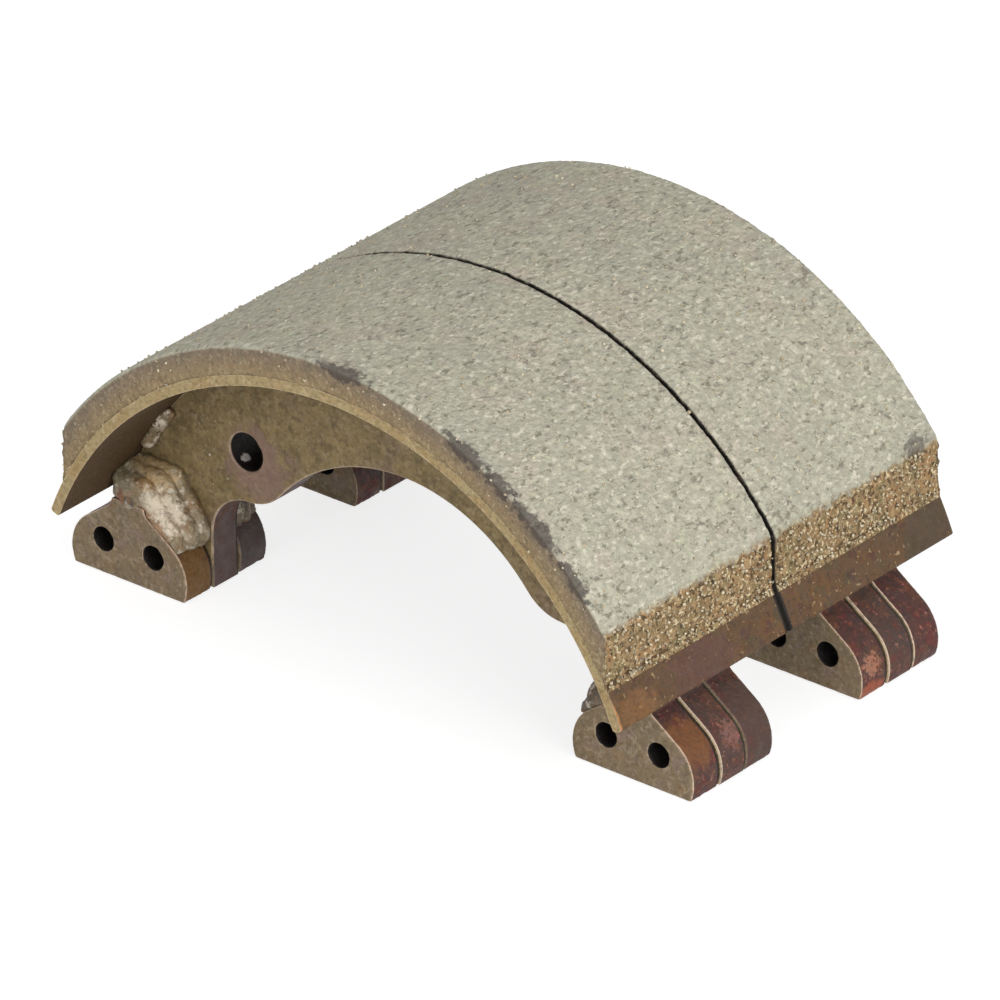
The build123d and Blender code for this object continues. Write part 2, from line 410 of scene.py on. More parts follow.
def turned_to_axis(tree, none, full, amount):
    """How far the surface looks along the drum's axis, as 0 at `none` to `amount` at `full`."""
    facing = add_node(tree, "ShaderNodeNewGeometry").outputs["True Normal"]
    facing = add_node(tree, "ShaderNodeSeparateXYZ", {"Vector": facing})
    along = add_node(tree, "ShaderNodeMath", {0: facing.outputs["Y"]}, operation="ABSOLUTE")
    return add_node(
        tree, "ShaderNodeMapRange",
        {"Value": along.outputs[0], "From Min": none, "From Max": full, "To Max": amount},
    ).outputs[0]


def mottled(tree, place, base, *rows):
    """The base under mottles: size in mm, low, high, share, hex colour, and detail if not 4."""
    return coats(
        tree, base,
        *(
            (mottle(tree, place, size, low, high, share, *detail), from_hex(code))
            for size, low, high, share, code, *detail in rows
        ),
    )


def surface(tree, relief, strength, depth_mm, sockets):
    """End the material in a shaded surface with these sockets, over bumps of this relief."""
    bumps = add_node(
        tree, "ShaderNodeBump", {"Height": relief, "Strength": strength, "Distance": depth_mm * MM}
    )
    shaded = add_node(tree, "ShaderNodeBsdfPrincipled", {**sockets, "Normal": bumps.outputs[0]})
    add_node(tree, "ShaderNodeOutputMaterial", {"Surface": shaded.outputs[0]})


def blots(tree, place, *rows, ragged=0.9):
    """A coat for each ragged patch.

    A row holds the hex colour, the middle and half-size in mm, the turn about Y, the
    share, and the size of its ragged edge in mm.
    """
    return [
        (patch(tree, place, middle, half_size, turn, share, ragged_mm, ragged), from_hex(code))
        for code, middle, half_size, turn, share, ragged_mm in rows
    ]


# ---- materials ------------------------------------------------------------------------
# Dark scuffs along the front edge of the working face: degrees from the crown, and
# half-length along the drum.
SCUFFS = ((3.0, 17.0), (24.0, 17.0), (30.5, 10.0), (38.0, 20.0), (46.5, 12.0))
SCUFF_WIDTH = 6.0
SCUFF_DEPTH = 6.0
SCUFF_INSET = 0.5  # from the lining's side to the middle of a scuff
CORNER_SCUFF = (53.8, 110.0, 10.0)  # at the rear right corner: degrees, Y and half-length
SOOT = "463f3c"


def on_drum(degrees, y_mm):
    """Place on the working face at this angle from the crown, in mm."""
    turn = radians(degrees)
    radius = DRUM_RADIUS / MM
    return (radius * sin(turn), y_mm, AXIS_Z / MM + radius * cos(turn))


def moulded_friction_block():
    """Resin-bonded friction block, moulded, sawn to length and swept by the drum.

    Its working face is dusty grey-beige with fine dark flecks drawn out across it, and
    pale chips. Its sawn ends and its sides are brown and coarse, because nothing has
    rubbed them. The finest grit is drawn at about 1.3 mm, coarser than the real one,
    so that it shows.
    """
    material, tree, place = new_material("moulded friction block, swept and sawn")
    tint = colours()
    flat, radius = unrolled(tree, place)
    drawn = add_node(
        tree, "ShaderNodeVectorMath", {0: flat, 1: (1.0, 0.6, 1.0)}, operation="MULTIPLY"
    ).outputs[0]
    swept = add_node(
        tree, "ShaderNodeMapRange",
        {"Value": radius, "From Min": DRUM_RADIUS - 2.6 * MM, "From Max": DRUM_RADIUS - 0.9 * MM},
        interpolation_type="SMOOTHSTEP",
    ).outputs[0]
    dusty_face = mottled(
        tree, flat, tint.lining_face,
        (45.0, 0.44, 0.6, 0.6, "b3b1a0"),
        (24.0, 0.52, 0.66, 0.5, "c6b3a4"),
        (15.0, 0.55, 0.66, 0.4, "babc9a"),
    )
    face = mottled(
        tree, drawn, dusty_face,
        (2.4, 0.34, 0.6, 0.62, "9d998a", 2.0),
        (2.9, 0.55, 0.67, 0.7, "757062", 3.0),
        (2.7, 0.58, 0.67, 0.65, "ddd7c4", 2.0),
    )
    side = mottled(
        tree, place, tint.lining_side,
        (16.0, 0.47, 0.6, 0.8, "9f7c55"),
        (11.0, 0.54, 0.63, 0.8, "7d7350"),
        (7.0, 0.57, 0.64, 0.6, "a4704a"),
        (3.1, 0.46, 0.6, 0.6, "b0976f", 3.0),
        (2.5, 0.52, 0.6, 0.85, "483928", 3.0),
        (2.3, 0.58, 0.64, 0.85, "ddcca6", 2.0),
    )
    # The sides that look along the drum's axis are smooth from the mould, and dusty
    # near the working face.
    moulded = turned_to_axis(tree, 0.45, 0.8, 0.8)
    dusty = add_node(
        tree, "ShaderNodeMapRange",
        {
            "Value": radius,
            "From Min": DRUM_RADIUS - 13 * MM, "From Max": DRUM_RADIUS - 4 * MM, "To Max": 0.8,
        },
    )
    skin_of_mould = mottled(
        tree, place, from_hex("938061"),
        (12.0, 0.46, 0.62, 0.6, "847157"),
        (3.4, 0.5, 0.66, 0.4, "aa9672", 3.0),
        (3.0, 0.54, 0.66, 0.4, "655644", 3.0),
    )
    skin_of_mould = coats(tree, skin_of_mould, (dusty.outputs[0], from_hex("756b60")))
    side = coats(tree, side, (moulded, skin_of_mould))
    scuffed_y = LINING_LOW.y / MM + SCUFF_INSET
    turn, corner_y, half_width = CORNER_SCUFF
    soot = blots(
        tree, place,
        *(
            (SOOT, on_drum(degrees, scuffed_y), (half, SCUFF_WIDTH, SCUFF_DEPTH), degrees, 0.78, 4.0)
            for degrees, half in SCUFFS
        ),
        (SOOT, on_drum(turn, corner_y), (SCUFF_WIDTH, half_width, SCUFF_DEPTH), turn, 0.6, 4.0),
        ragged=1.3,
    )
    # Painted shade: a dark line along the gap between the two halves.
    parting_shade = cross_band(tree, place, 0.0, 1.1 * MM, 0.7 * MM, 1.0, fold="ABSOLUTE")
    skin = coats(tree, side, (swept, face), *soot, (parting_shade, from_hex("14110d")))
    coarse = mottle(tree, drawn, 3.1, 0.4, 0.7, detail=3.0)
    fine = mottle(tree, place, 2.4, 0.25, 0.75, detail=3.0)
    relief = add_node(tree, "ShaderNodeMath", {0: fine, 1: coarse}, operation="SUBTRACT")
    block = {"Base Color": skin, "Roughness": 0.9, "Specular IOR Level": 0.3}
    surface(tree, relief.outputs[0], 0.8, 0.7, block)
    return material


def broken_chips():
    """Chips of brass and mineral filler, broken rather than cut, so that they glint."""
    material, tree, place = new_material("broken brass and mineral chips")
    skin = mottled(
        tree, place, colours().chip, (3.0, 0.42, 0.52, 1.0, "b0a183"), (4.0, 0.55, 0.6, 1.0, "7b7364")
    )
    relief = mottle(tree, place, 0.8, 0.3, 0.7)
    surface(tree, relief, 0.6, 0.1, {"Base Color": skin, "Roughness": 0.55})
    return material


def coated_steel(name, flat_coats, edge_coats, edge_share, edge_marks, marks):
    """Plate steel under a thin storage coating, flame cut and rusting through it.

    The flat faces keep the coating and a low shine. The cut edges rust first, from
    orange to a dark red-purple, and the corners are rubbed to a pale line. Both kinds of
    marks get the tree and the place, and return the coats that only this piece has. The
    finest rust is drawn at about 3 mm, coarser than the real one, so that it shows.
    """
    material, tree, place = new_material(name)
    rubbed = (worn_arris(tree, place, 1.2, 0.7), from_hex("cdb796"))
    dust = (mottle(tree, place, 3.1, 0.5, 0.7, amount=0.3, detail=3.0), from_hex("a59678"))
    flat = coats(tree, mottled(tree, place, *flat_coats), dust, rubbed)
    edge = coats(tree, mottled(tree, place, *edge_coats), rubbed, *edge_marks(tree, place))
    # The flat faces look along the drum's axis, and a cut edge looks across it.
    cut_edge = turned_to_axis(tree, 0.85, 0.5, edge_share)
    fine = (mottle(tree, place, 2.2, 0.46, 0.68, amount=0.4), from_hex("3f3226"))
    skin = coats(tree, flat, (cut_edge, edge), fine, *marks(tree, place))
    gloss = mottle(tree, place, 6.0, 0.3, 0.7)
    gloss = add_node(tree, "ShaderNodeMapRange", {"Value": gloss, "To Min": 0.42, "To Max": 0.7})
    relief = mottle(tree, place, 2.2, 0.25, 0.75, detail=6.0, roughness=0.7)
    steel = {"Base Color": skin, "Metallic": 0.1, "Specular IOR Level": 0.32}
    surface(tree, relief, 0.8, 0.4, {**steel, "Roughness": gloss.outputs[0]})
    return material


# Rust on the cut edges; its last, pale pink row paints glints.
RUSTY_EDGE_AND_GLINTS = (
    (14.0, 0.46, 0.58, 0.8, "5b3725"),
    (19.0, 0.46, 0.6, 0.85, "422f2d"),
    (6.0, 0.54, 0.62, 0.7, "66302c"),
    (3.6, 0.55, 0.65, 0.6, "84503a"),
    (2.9, 0.54, 0.63, 0.6, "2f2120"),
    (3.0, 0.62, 0.68, 0.6, "a87a6c"),
)
LAYER_GAP = 1.5 * MM  # width of the painted shade line where two layers meet
LIT_ARRIS_WIDTH = 0.9 * MM  # width of the painted highlight on the corner beside it
SHADOW = "140d0b"
# painted shade inside the bolt holes and the web hole
BORE_SHADE = "0f0a09"
FLAKY = 2.6  # raggedness of a patch that is broken into small flakes


def painted_gap_shade(tree, place, high):
    """Painted shade: the dark line on a cut edge, up to the Y where the next layer starts."""
    return cross_band(tree, place, high - LAYER_GAP, high, 0.4 * MM, 1.0), from_hex(SHADOW)


def lit_arris_line(tree, place, low, code):
    """Painted highlight: the bright line on a cut edge, from the Y where the layer starts, on the near
    corner that catches the light.
    """
    return cross_band(tree, place, low, low + LIT_ARRIS_WIDTH, 0.5 * MM, 0.95), from_hex(code)


def web_steel():
    """Webs: olive-khaki coating, with a purple stain rubbed round the hole."""

    def edge_marks(tree, place):
        # Painted glints: pink specks on the cut edge at the front half's right foot.
        web_pink_glints = ("b98279", (190.0, -60.0, 22.0), (7.0, 6.0, 6.0), 0.0, 0.32, 1.8)
        brown = ("574846", (-121.0, -63.0, 8.0), (14.0, 14.0, 34.0), 0.0, 0.8, 7.0)
        return (
            *blots(tree, place, web_pink_glints, ragged=FLAKY),
            lit_arris_line(tree, place, WEB_LOW.y, "e2cbb4"),
            *blots(tree, place, brown),
            painted_gap_shade(tree, place, WEB_HIGH.y),
        )

    def marks(tree, place):
        stain = ("8b6c66", (-91.0, WEB_LOW.y / MM, 78.0), (21.0, 5.0, 20.0), 0.0, 0.6, 8.0)
        glint = ("cfc6c0", (-104.6, -66.0, 75.0), (2.4, 3.2, 2.2), 0.0, 0.9, 2.0)
        wall = WEB_HOLE_RADIUS + 0.1 * MM
        return (
            *blots(tree, place, stain),
            (bore_shade(tree, place, WEB_HOLE_X, WEB_HOLE_Z, wall, 0.3 * MM, 0.97), from_hex(BORE_SHADE)),
            *blots(tree, place, glint, ragged=1.0),
        )

    tint = colours()
    flat = (
        tint.web_steel,
        (17.0, 0.44, 0.6, 0.7, "786844"),
        (8.0, 0.52, 0.64, 0.6, "988357"),
        (25.0, 0.54, 0.66, 0.5, "7a6354"),
        (5.0, 0.52, 0.64, 0.55, "5f4f36"),
        (4.0, 0.55, 0.65, 0.5, "a08f6c"),
    )
    edge = (tint.rust, *RUSTY_EDGE_AND_GLINTS)
    return coated_steel("flame-cut web plate, coated", flat, edge, 0.95, edge_marks, marks)


def plate_steel():
    """Tip plates: grey-olive faces with purple and orange tints, and bolt holes darkened with painted
    shade.
    """

    def edge_marks(tree, place):
        # Painted highlight along the near corner of the front plate.
        lit_front_arris = cross_band(tree, place, PLATE_LOW.y, PLATE_LOW.y + 0.7 * MM, 0.4 * MM, 0.9)
        orange = (
            ("755427", (-121.0, -84.0, 10.0), (12.0, 14.0, 34.0), 0.0, 0.85, 7.0),
            ("7a4d27", (186.0, -84.0, 26.0), (14.0, 14.0, 16.0), 0.0, 0.8, 6.0),
        )
        # Painted glints: pink specks on the cut edge at the rear half's right foot.
        plate_pink_glints = ("c98c6c", (193.0, 43.0, 16.0), (6.0, 6.0, 5.0), 0.0, 0.5, 1.8)
        below = (
            ("a4573a", (193.0, 42.0, 3.0), (7.0, 12.0, 6.0), 0.0, 0.75, 4.0),
            ("4f3c34", (184.0, -43.0, 20.0), (18.0, 14.0, 26.0), 0.0, 0.8, 7.0),
        )
        # the painted highlight where a rear plate starts hardly shows at the front half's right foot
        over_line = (
            ("523833", (184.0, -53.0, 20.0), (24.0, 3.0, 34.0), 0.0, 0.9, 6.0),
            ("4a4140", (-121.0, -44.0, 8.0), (14.0, 14.0, 30.0), 0.0, 0.8, 7.0),
        )
        return (
            *blots(tree, place, *orange),
            *blots(tree, place, plate_pink_glints, ragged=FLAKY),
            *blots(tree, place, *below),
            (lit_front_arris, from_hex("d9bfa8")),
            lit_arris_line(tree, place, PLATE_LOW.y + LAYER_PITCH, "dcc4ac"),
            *blots(tree, place, *over_line),
            painted_gap_shade(tree, place, PLATE_HIGH.y),
        )

    def marks(tree, place):
        wall = BOLT_RADIUS + 0.25 * MM
        return tuple(
            (bore_shade(tree, place, x, BOLT_HEIGHT, wall, 0.3 * MM, 0.98), from_hex(BORE_SHADE))
            for x in bolt_xs()
        )

    tint = colours()
    flat = (
        tint.plate_steel,
        (15.0, 0.46, 0.6, 0.7, "74654d"),
        (9.0, 0.53, 0.63, 0.5, "87706a"),
        (12.0, 0.56, 0.66, 0.5, "8d6a45"),
        (3.4, 0.55, 0.64, 0.5, "a3937c"),
    )
    edge = (tint.rust, *RUSTY_EDGE_AND_GLINTS)
    return coated_steel("flame-cut tip plate, coated", flat, edge, 1.0, edge_marks, marks)


def table_steel():
    """Tables: tan along the lining's edge, and brown to dark red where they end."""

    def edge_marks(tree, place):
        # Painted shade: the table's underside is darkened.
        under = add_node(
            tree, "ShaderNodeMapRange",
            {
                "Value": unrolled(tree, place)[1],
                "From Min": TABLE_INNER + 1.2 * MM, "From Max": TABLE_INNER + 0.3 * MM, "To Max": 0.72,
            },
        )
        strip = (
            ("5d3f38", (172.0, -62.0, 52.0), (12.0, 26.0, 16.0), 0.0, 0.7, 9.0),
            ("8a5f35", (176.0, -112.0, 52.0), (9.0, 16.0, 10.0), 0.0, 0.5, 6.0),
            ("4c4030", (172.0, 110.0, 52.0), (14.0, 22.0, 18.0), 0.0, 0.75, 9.0),
        )
        corner = ("d08f5c", (176.0, TABLE_LOW.y / MM + 0.4, 50.0), (8.0, 1.0, 11.0), 0.0, 0.65, 4.0)
        return (
            *blots(tree, place, *strip),
            (under.outputs[0], from_hex("4a3b26")),
            *blots(tree, place, corner, ragged=0.3),
        )

    def marks(tree, place):
        reach = 0.9 * MM - TABLE_HIGH.y  # from the middle of the gap to just past both sides
        # Painted shade in the gap between the two halves.
        gap = cross_band(tree, place, 0.0, reach, 0.7 * MM, 0.97, fold="ABSOLUTE")
        return ((gap, from_hex("120d0b")),)

    tint = colours()
    flat = (
        tint.table_steel,
        (14.0, 0.46, 0.6, 0.7, "a08557"),
        (7.0, 0.55, 0.64, 0.6, "b0966c"),
        (3.4, 0.52, 0.64, 0.4, "79623f"),
        (3.1, 0.54, 0.65, 0.6, "c8b388"),
    )
    edge = (
        from_hex("5f452c"),
        (16.0, 0.48, 0.6, 0.7, "6b4a25"),
        (11.0, 0.53, 0.63, 0.7, "50452d"),
        (8.0, 0.56, 0.64, 0.7, "4f322c"),
        (3.2, 0.56, 0.64, 0.6, "3f3128"),
        (3.0, 0.62, 0.67, 0.7, "b39a76"),
    )
    name = "rolled table steel, coated and rusting"
    return coated_steel(name, flat, edge, 1.0, edge_marks, marks)


def weld_metal(name, base, brightness, tints=()):
    """Stick weld, left as it froze.

    Fresh metal is pale and bright on the ripples, and brown where slag and rust sit
    in between them.
    """
    material, tree, place = new_material(name)
    skin = mottled(tree, place, from_hex(base), (10.0, 0.4, 0.6, 0.4, "6a583a"))
    bright = (mottle(tree, place, 6.0, 0.46, 0.62, amount=brightness), colours().weld)
    skin = coats(tree, skin, bright, *blots(tree, place, *tints))
    # The pale f0e7d7 mottle paints highlights on the weld metal.
    skin = mottled(
        tree, place, skin,
        (8.0, 0.52, 0.64, 0.6, "80603c"),
        (3.2, 0.52, 0.66, 0.5, "5c4a34"),
        (5.0, 0.56, 0.66, 0.35, "f0e7d7"),
    )
    relief = mottle(tree, place, 1.8, 0.25, 0.75, detail=5.0)
    surface(tree, relief, 0.8, 0.3, {"Base Color": skin, "Metallic": 0.25, "Roughness": 0.4})
    return material


FRESH_WELD = ("front", "left", "front")  # the one that is still bright
FRESH_TINTS = (
    ("b49a70", (-148.0, -82.0, 60.0), (17.0, 10.0, 8.0), 0.0, 0.75, 3.0),
    ("a5804f", (-148.0, -90.0, 57.0), (10.0, 5.0, 4.0), 0.0, 0.6, 3.0),
    ("e2d4bd", (-138.0, -88.0, 43.0), (15.0, 11.0, 7.5), 50.0, 0.7, 3.0),
    ("7d6c4d", (-128.0, -78.0, 52.0), (13.0, 7.0, 6.0), 55.0, 0.7, 3.0),
    ("847a64", (-160.0, -90.0, 56.0), (9.0, 8.0, 7.0), 0.0, 0.8, 3.0),
    ("8c6236", (-141.0, -94.0, 36.5), (15.0, 3.5, 4.5), 38.0, 0.8, 3.0),
    ("7a4325", (-162.0, -92.0, 45.5), (3.0, 7.0, 5.0), 0.0, 0.95, 3.0),
    # painted shade in the recess of the pocket
    ("3a2f27", (-156.5, -92.0, 45.5), (4.0, 6.0, 3.6), 0.0, 0.95, 3.0),
)


# ---- linings --------------------------------------------------------------------------
RING_STEPS = 240
BEDDED = 0.4 * MM  # skin of the lining that lies on the table and stays true
SAWN_REACH = 4.0 * MM  # how far in from a sawn end the crumbling goes
EDGE_REACH = 3.0 * MM  # and how far from the edges of the working face
SWEPT_REACH = 2.0 * MM  # depth below the working face that its pits may take


def lining_section(name, low, high):
    """Rectangle of the lining's section, standing over the drum's axis."""
    thickness = DRUM_RADIUS - TABLE_OUTER
    middle = (0.0, (low.y + high.y) / 2, AXIS_Z + TABLE_OUTER + thickness / 2)
    bpy.ops.mesh.primitive_plane_add(size=1.0, location=middle, rotation=(0.0, pi / 2, 0.0))
    piece = bpy.context.active_object
    piece.name = name
    piece.scale = (thickness, high.y - low.y, 1.0)
    bpy.ops.object.transform_apply(location=True, rotation=True, scale=True)
    return piece


def build_lining(half, material):
    """Spin the section round the drum, saw off its ends, and roughen it."""
    node = f"lining_{half}_half"
    low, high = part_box(node)
    deselect_all()
    piece = lining_section(f"friction_{node}", low, high)
    make_active(piece)
    bpy.ops.object.mode_set(mode="EDIT")
    bpy.ops.mesh.select_all(action="SELECT")
    bpy.ops.mesh.delete(type="ONLY_FACE")
    bpy.ops.mesh.select_all(action="SELECT")
    bpy.ops.mesh.spin(steps=RING_STEPS, angle=2 * pi, center=(0.0, 0.0, AXIS_Z), axis=(0.0, 1.0, 0.0))
    bpy.ops.mesh.select_all(action="SELECT")
    bpy.ops.mesh.remove_doubles(threshold=MERGE)
    for place, outward in (
        ((high.x, 0.0, 0.0), (1.0, 0.0, 0.0)),
        ((low.x, 0.0, 0.0), (-1.0, 0.0, 0.0)),
        ((0.0, 0.0, AXIS_Z), (0.0, 0.0, -1.0)),
    ):
        bpy.ops.mesh.select_all(action="SELECT")
        bpy.ops.mesh.bisect(plane_co=place, plane_no=outward, use_fill=True, clear_outer=True)
    bpy.ops.mesh.select_all(action="SELECT")
    bpy.ops.mesh.normals_make_consistent(inside=False)
    bpy.ops.object.mode_set(mode="OBJECT")
    arris = sizes().lining_arris
    apply_modifier(piece, "BEVEL", width=arris, segments=2, limit_method="ANGLE", angle_limit=radians(50))
    apply_modifier(piece, "REMESH", mode="VOXEL", voxel_size=sizes().lining_facet)

    def sawn_at(place):
        radius = hypot(place.x, place.z - AXIS_Z)
        if radius < TABLE_OUTER + BEDDED:
            return 0.0
        top = near(DRUM_RADIUS - radius, EDGE_REACH)
        end = LINING_END_X - abs(place.x)
        side = min(place.y - low.y, high.y - place.y)
        edge = top * max(0.55 * near(side, 2.5 * MM), near(end, EDGE_REACH))
        return min(1.0, max(near(end, SAWN_REACH), 0.4 * near(side, EDGE_REACH), edge))

    def swept_at(place):
        return near(DRUM_RADIUS - hypot(place.x, place.z - AXIS_Z), SWEPT_REACH)

    weigh(piece, "sawn", sawn_at)
    weigh(piece, "swept", swept_at)
    crumble = sizes().lining_crumble
    roughen(piece, 5.0, crumble, "sawn")
    roughen(piece, 2.2, 0.6 * crumble, "sawn")
    roughen(piece, 2.6, sizes().lining_pit, "swept")
    keep_inside(piece, low, high)
    finish(piece, material, node)


# ---- loose chips ----------------------------------------------------------------------
TABLE_SHARE = 0.12  # share of the chips that lie low on an end, along the table
END_SHARE = 0.6  # with them, the share on the sawn ends
SIDE_SHARE = 0.63  # with those, the share on the outer side; the rest lie on the face
CROWN_TURN = radians(12.0)  # a chip nearer the crown than this doesn't stand proud


def chip_places(rng, low, high, count):
    """Seeded places on a lining: most at its sawn ends, the rest on its side and face."""
    end_angle = asin(LINING_END_X / DRUM_RADIUS)
    for _ in range(count):
        draw = rng.random()
        y = rng.uniform(low.y + 1 * MM, high.y - 1 * MM)
        turn = rng.uniform(-end_angle, end_angle)
        radius = rng.uniform(TABLE_OUTER + 0.6 * MM, DRUM_RADIUS - 0.6 * MM)
        if draw < TABLE_SHARE:
            radius = TABLE_OUTER + 0.9 * MM
        if draw < END_SHARE:
            x = rng.choice((-1, 1)) * (LINING_END_X - rng.uniform(0.1, 1.3) * MM)
            z = AXIS_Z + sqrt(radius ** 2 - x ** 2)
        elif draw < SIDE_SHARE:
            x, z = radius * sin(turn), AXIS_Z + radius * cos(turn)
            y = low.y + 0.8 * MM if abs(low.y) > abs(high.y) else high.y - 0.8 * MM
        else:
            proud = -0.1 * MM if abs(turn) > CROWN_TURN else -0.4 * MM
            radius = DRUM_RADIUS + proud
            x, z = radius * sin(turn), AXIS_Z + radius * cos(turn)
        yield Vector((x, y, z))


def build_chips(half, seed, material):
    """Chips standing out of a lining: one broken grain, copied and turned."""
    low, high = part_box(f"lining_{half}_half")
    rng = random.Random(seed)
    deselect_all()
    bpy.ops.mesh.primitive_ico_sphere_add(subdivisions=1, radius=1.0, location=(0.0, 0.0, 0.0))
    grain = bpy.context.active_object
    moves = []
    for place in chip_places(rng, low, high, sizes().grains_per_half):
        size = sizes().grain_size * rng.uniform(0.45, 1.2)
        stretch = Matrix.Diagonal((size, size * rng.uniform(0.6, 1.0), size * rng.uniform(0.5, 0.9), 1.0))
        turn = Matrix.Rotation(rng.uniform(0, 2 * pi), 4, Vector((rng.random(), rng.random(), 1.0)))
        moves.append(Matrix.Translation(place) @ turn @ stretch)
    piece = copy_and_join(grain, moves, f"lining_chips_{half}_half")
    keep_inside(piece, *CAD_BOX)
    finish(piece, material)


# ---- tip plates -----------------------------------------------------------------------
def build_tip_plate(half, end, side, material):
    """Round a tip plate's corners and mark its cut edge as the flame left them."""
    node = f"tip_plate_{half}_half_{end}_{side}_side"
    low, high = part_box(node)
    piece = copy_of_node(node, f"cut_{node}")
    apply_modifier(piece, "REMESH", mode="VOXEL", voxel_size=sizes().plate_facet)
    arris = sizes().plate_arris

    def corner_at(place):
        return near(min(place.y - low.y, high.y - place.y), 2.5 * arris)

    def cut_at(place):
        for x in bolt_xs():
            if hypot(abs(place.x) - x, place.z - BOLT_HEIGHT) < BOLT_RADIUS + arris:
                return 0.0
        return min(1.0, min(place.y - low.y, high.y - place.y) / (2 * arris))

    weigh(piece, "corner", corner_at)
    weigh(piece, "cut", cut_at)
    apply_modifier(piece, "SMOOTH", factor=0.5, iterations=6, vertex_group="corner")
    roughen(piece, 4.0, sizes().plate_scale, "cut")
    roughen(piece, 2.0, 0.7 * sizes().plate_scale, "cut")
    roughen(piece, 3.0, 0.5 * sizes().plate_scale, "corner")
    keep_inside(piece, low, high)
    finish(piece, material, node)


# ---- welds ----------------------------------------------------------------------------
WELD_TOE = 1.5 * MM  # a weld keeps its place this close to the steel that it touches
WELD_BEDDING = 0.8 * MM
TIP_PASSES = 3
TIP_ROUNDS = 150  # rounds of smoothing that turn the solid weld into a mound
WEB_ROUNDS = 8
TIP_MIDDLE_Z = 20.0 * MM  # the passes curve round this height below the plate's top
TIP_TURN_RADIUS = 38.0 * MM
CRESCENT = 2.2  # how many ripples a ripple bows forward in the middle of its pass
POCKET = Vector((-157.5, -94.0, 46.0)) * MM
POCKET_REACH = 6.5 * MM
POCKET_DEPTH = 5.0 * MM


def rippled(along, across, pitch):
    """Height of a ripple, 0 to 1, bowed forward in the middle of its pass."""
    bow = CRESCENT * (1.0 - (2.0 * across - 1.0) ** 2)
    phase = (along / pitch + bow) % 1.0
    return phase ** 0.6 * (1.0 - phase) ** 0.25 * 1.35


def lay_passes(piece, free_at, along_at, across_at, passes, rounds):
    """Let the weld sink into a mound, then raise its passes and the ripples on them.

    Where it touches the steel it is bedded in, so that no gap shows at its toe.
    """
    size = sizes()

    def pass_at(place):
        return free_at(place) * abs(sin(pi * passes * across_at(place)))

    def ripple_at(place):
        local = (passes * across_at(place)) % 1.0
        return min(1.0, free_at(place) * rippled(along_at(place), local, size.weld_pitch))

    apply_modifier(piece, "REMESH", mode="VOXEL", voxel_size=1.6 * size.weld_facet)
    weigh(piece, "free", free_at)
    apply_modifier(piece, "SMOOTH", factor=0.5, iterations=rounds, vertex_group="free")
    apply_modifier(piece, "REMESH", mode="VOXEL", voxel_size=size.weld_facet)
    piece.vertex_groups.clear()
    weigh(piece, "free", free_at)
    apply_modifier(piece, "SMOOTH", factor=0.5, iterations=6, vertex_group="free")
    roughen(piece, 14.0, 2.0 * size.weld_pass, "free", mid_level=0.5)
    weigh(piece, "bedded", lambda place: 1.0 - free_at(place))
    apply_modifier(piece, "DISPLACE", strength=WELD_BEDDING, mid_level=0.0, vertex_group="bedded")
    weigh(piece, "passes", pass_at)
    weigh(piece, "ripples", ripple_at)
    apply_modifier(piece, "DISPLACE", strength=size.weld_pass, mid_level=0.0, vertex_group="passes")
    apply_modifier(piece, "DISPLACE", strength=size.weld_ripple, mid_level=0.0, vertex_group="ripples")
    roughen(piece, 5.0, 1.6 * size.weld_ripple, "free", mid_level=0.5)
    roughen(piece, 2.0, 0.6 * size.weld_ripple, "free", mid_level=0.5)


def build_tip_weld(half, end, side, material):
    """Heavy weld over the top of a tip plate, laid in passes from the web outwards."""
    node = f"tip_weld_{half}_half_{end}_{side}_side"
    low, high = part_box(node)
    web_y = high.y if SIDES[side] < 0 else low.y
    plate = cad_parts[f"tip_plate_{half}_half_{end}_{side}_side"].data
    corners = [vertex.co for vertex in plate.vertices]
    plate_tree = BVHTree.FromPolygons(corners, [face.vertices for face in plate.polygons])

    def free_at(place):
        off_plate = plate_tree.find_nearest(place)[3]
        off_table = TABLE_INNER - hypot(place.x, place.z - AXIS_Z)
        return min(1.0, min(abs(place.y - web_y), off_plate, max(0.0, off_table)) / WELD_TOE)

    def across_at(place):
        return min(1.0, abs(place.y - web_y) / (high.y - low.y))

    def along_at(place):
        return TIP_TURN_RADIUS * atan2(FOOT_X - abs(place.x), place.z - TIP_MIDDLE_Z)

    piece = copy_of_node(node, f"bead_{node}")
    lay_passes(piece, free_at, along_at, across_at, TIP_PASSES, TIP_ROUNDS)
    if (half, end, side) == FRESH_WELD:
        weigh(piece, "pocket", lambda place: near((place - POCKET).length, POCKET_REACH) ** 0.7)
        apply_modifier(
            piece, "DISPLACE", strength=-POCKET_DEPTH, mid_level=0.0, vertex_group="pocket", direction="Z"
        )
    finish(piece, material, node)


def build_web_weld(half, side, material):
    """Stitch welds of one side of a web, each a single pass of ripples."""
    node = f"web_weld_{half}_half_{side}_side"
    low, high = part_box(node)
    web_y = high.y if SIDES[side] < 0 else low.y

    def free_at(place):
        off_table = TABLE_INNER - hypot(place.x, place.z - AXIS_Z)
        return min(1.0, min(abs(place.y - web_y), max(0.0, off_table)) / WELD_TOE)

    def across_at(place):
        return min(1.0, abs(place.y - web_y) / (high.y - low.y))

    def along_at(place):
        return TABLE_INNER * atan2(place.x, place.z - AXIS_Z)

    piece = copy_of_node(node, f"bead_{node}")
    lay_passes(piece, free_at, along_at, across_at, 1, WEB_ROUNDS)
    finish(piece, material, node)


SPATTER_COUNT = 34
SPATTER_X = (0.104, 0.134)  # out from the middle of the shoe
SPATTER_Z = (0.050, 0.094)
SPATTER_CLEAR = 4 * MM  # from the web hole and from the table


